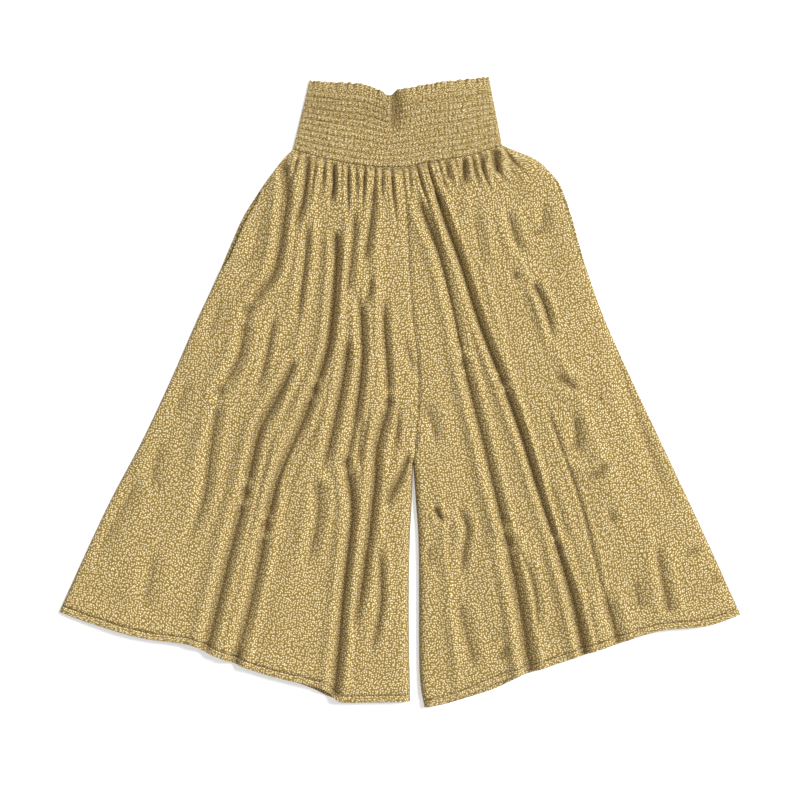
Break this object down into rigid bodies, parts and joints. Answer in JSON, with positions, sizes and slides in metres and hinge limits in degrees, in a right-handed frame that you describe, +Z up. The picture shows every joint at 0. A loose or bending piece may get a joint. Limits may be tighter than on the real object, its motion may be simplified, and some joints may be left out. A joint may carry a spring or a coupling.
{
  "type": "culottes",
  "caption": "Wide-legged culottes laid flat, with a smocked waistband, side-seam pockets, gathered and flared legs and narrow turned hems.",
  "frame": {"origin": "middle of the garment's outline on the surface that it lies on", "axes": "+X across the garment towards the wearer's left, +Y from the hems to the waist, +Z up out of the front"},
  "size_m": [0.9864, 0.9122, 0.0156],
  "materials": {
    "leg_cloth": "soft plain-woven viscose, mustard with a tiny scattered cream print",
    "smocking": "the same viscose drawn up in rows of elastic shirring",
    "facing": "the same viscose, single layer inside the pocket mouth",
    "hem": "the same viscose, turned twice and stitched"
  },
  "bodies": {
    "root": {"waistband_front": "smocking", "waistband_back": "smocking", "front_panel_right": "leg_cloth", "front_panel_left": "leg_cloth", "back_panel_right": "leg_cloth", "back_panel_left": "leg_cloth", "pocket_facing_right": "facing", "pocket_facing_left": "facing", "hem_front_right": "hem", "hem_front_left": "hem", "hem_back_right": "hem", "hem_back_left": "hem"}
  },
  "joints": []
}
